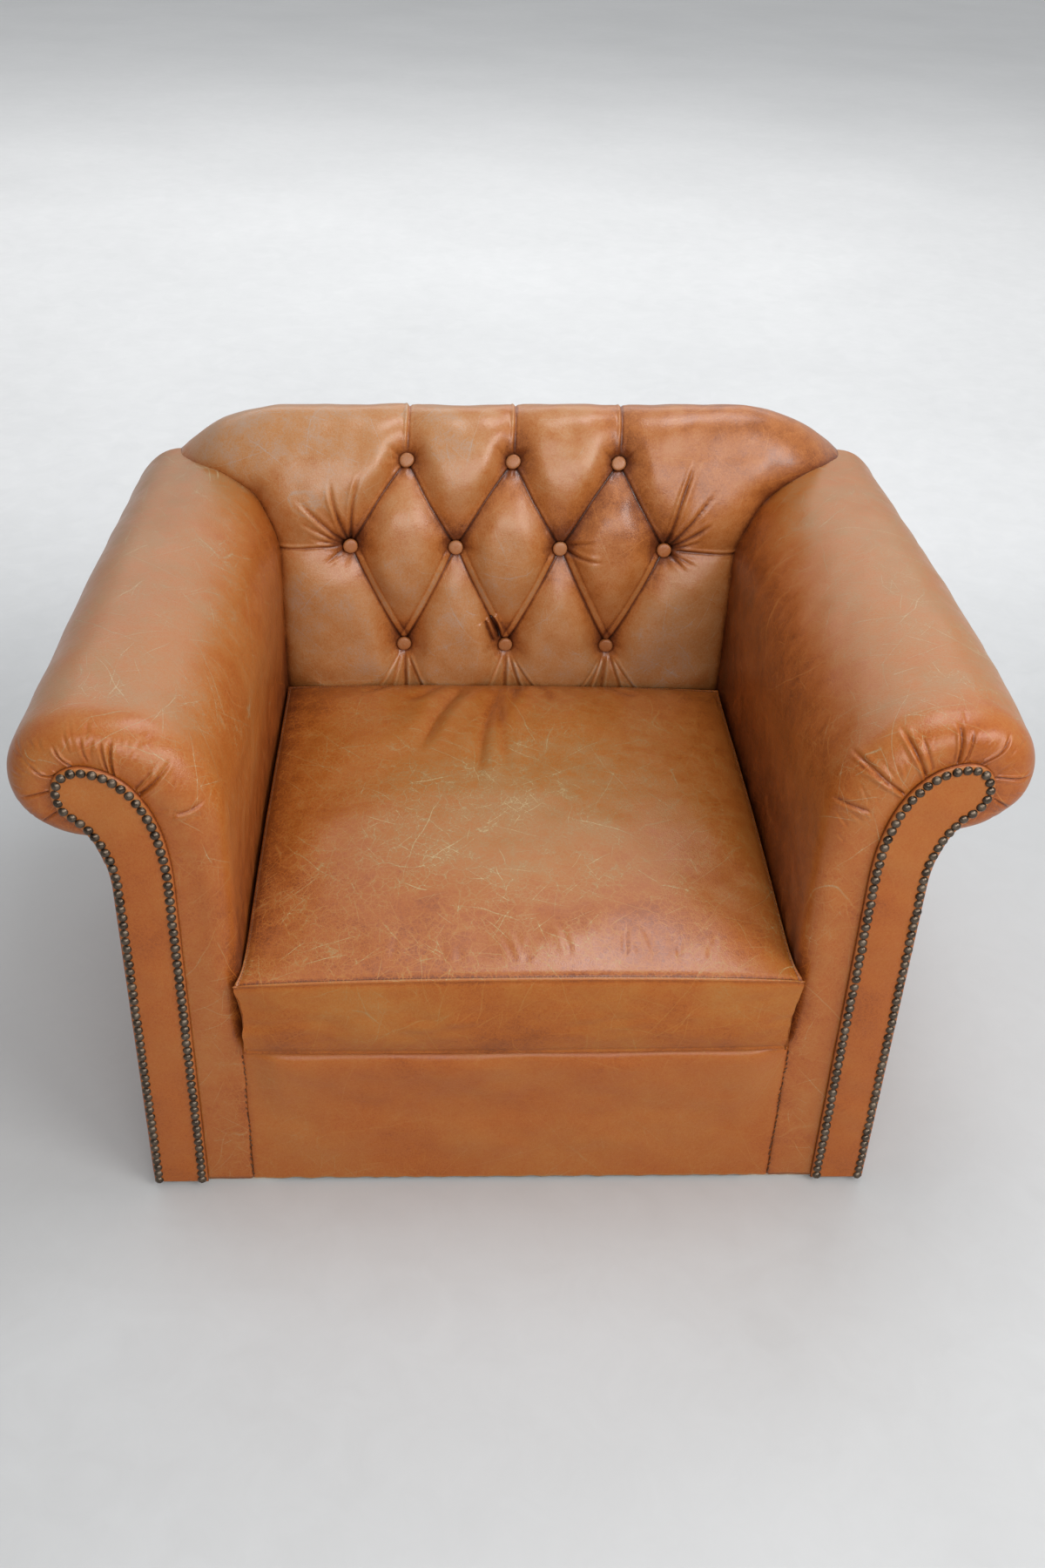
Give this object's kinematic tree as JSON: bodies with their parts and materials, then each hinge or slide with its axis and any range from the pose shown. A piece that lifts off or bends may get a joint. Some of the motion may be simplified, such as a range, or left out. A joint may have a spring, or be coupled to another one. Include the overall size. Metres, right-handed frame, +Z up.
{
  "type": "club armchair",
  "caption": "Low tufted-back club armchair with rolled arms, nail-trimmed scroll facings, sprung deck and a loose box seat cushion, upholstered in leather.",
  "frame": {"origin": "middle of the bounding box at floor level, under the seat", "axes": "+Z up, -Y towards the front where the sitter enters, +X to the right as seen from the front"},
  "size_m": [1.09, 0.811, 0.731],
  "materials": {
    "leather": "satin",
    "button_leather": "satin",
    "nail_bronze": "satin",
    "beech": "matte",
    "foot_wood": "matte",
    "spring_steel": "satin",
    "foam": "matte",
    "deck_cloth": "matte",
    "webbing": "matte",
    "zip_tape": "matte",
    "zip_brass": "satin"
  },
  "bodies": {
    "chair_body": {"back_base_rail": "beech", "back_button_01": "button_leather", "back_button_02": "button_leather", "back_button_03": "button_leather", "back_button_04": "button_leather", "back_button_05": "button_leather", "back_button_06": "button_leather", "back_button_07": "button_leather", "back_button_08": "button_leather", "back_button_09": "button_leather", "back_button_10": "button_leather", "back_crest_board": "beech", "back_pad": "foam", "back_tack_rail": "beech", "back_webbing": "webbing", "deck_cover": "deck_cloth", "deck_pad": "foam", "dust_cover": "deck_cloth", "front_rail_cover": "leather", "front_rail_pad": "foam", "front_seat_rail": "beech", "front_spring_batten": "beech", "inside_back_cover": "leather", "left_arm_board": "beech", "left_arm_cover": "leather", "left_arm_facing": "leather", "left_arm_pad": "foam", "left_arm_rail": "beech", "left_back_post": "beech", "left_front_corner_block": "beech", "left_front_foot": "foot_wood", "left_nail_trim": "nail_bronze", "left_outside_arm_panel": "leather", "left_rear_corner_block": "beech", "left_rear_foot": "foot_wood", "left_seat_rail": "beech", "outside_back_panel": "leather", "rear_seat_rail": "beech", "rear_spring_batten": "beech", "right_arm_board": "beech", "right_arm_cover": "leather", "right_arm_facing": "leather", "right_arm_pad": "foam", "right_arm_rail": "beech", "right_back_post": "beech", "right_front_corner_block": "beech", "right_front_foot": "foot_wood", "right_nail_trim": "nail_bronze", "right_outside_arm_panel": "leather", "right_rear_corner_block": "beech", "right_rear_foot": "foot_wood", "right_seat_rail": "beech", "seat_spring_1": "spring_steel", "seat_spring_2": "spring_steel", "seat_spring_3": "spring_steel", "seat_spring_4": "spring_steel"},
    "seat_cushion": {"cushion_cover": "leather", "cushion_core": "foam", "cushion_zip": "zip_tape"},
    "zip_slider": {"zip_slider": "zip_brass"}
  },
  "joints": [
    {"name": "seat_cushion_lift", "type": "slide", "parent": "chair_body", "child": "seat_cushion", "axis": [0, 0, 1], "range_m": [0, 0.46]},
    {"name": "zip_pull", "type": "slide", "parent": "seat_cushion", "child": "zip_slider", "axis": [1, 0, 0], "range_m": [0, 0.48]}
  ]
}
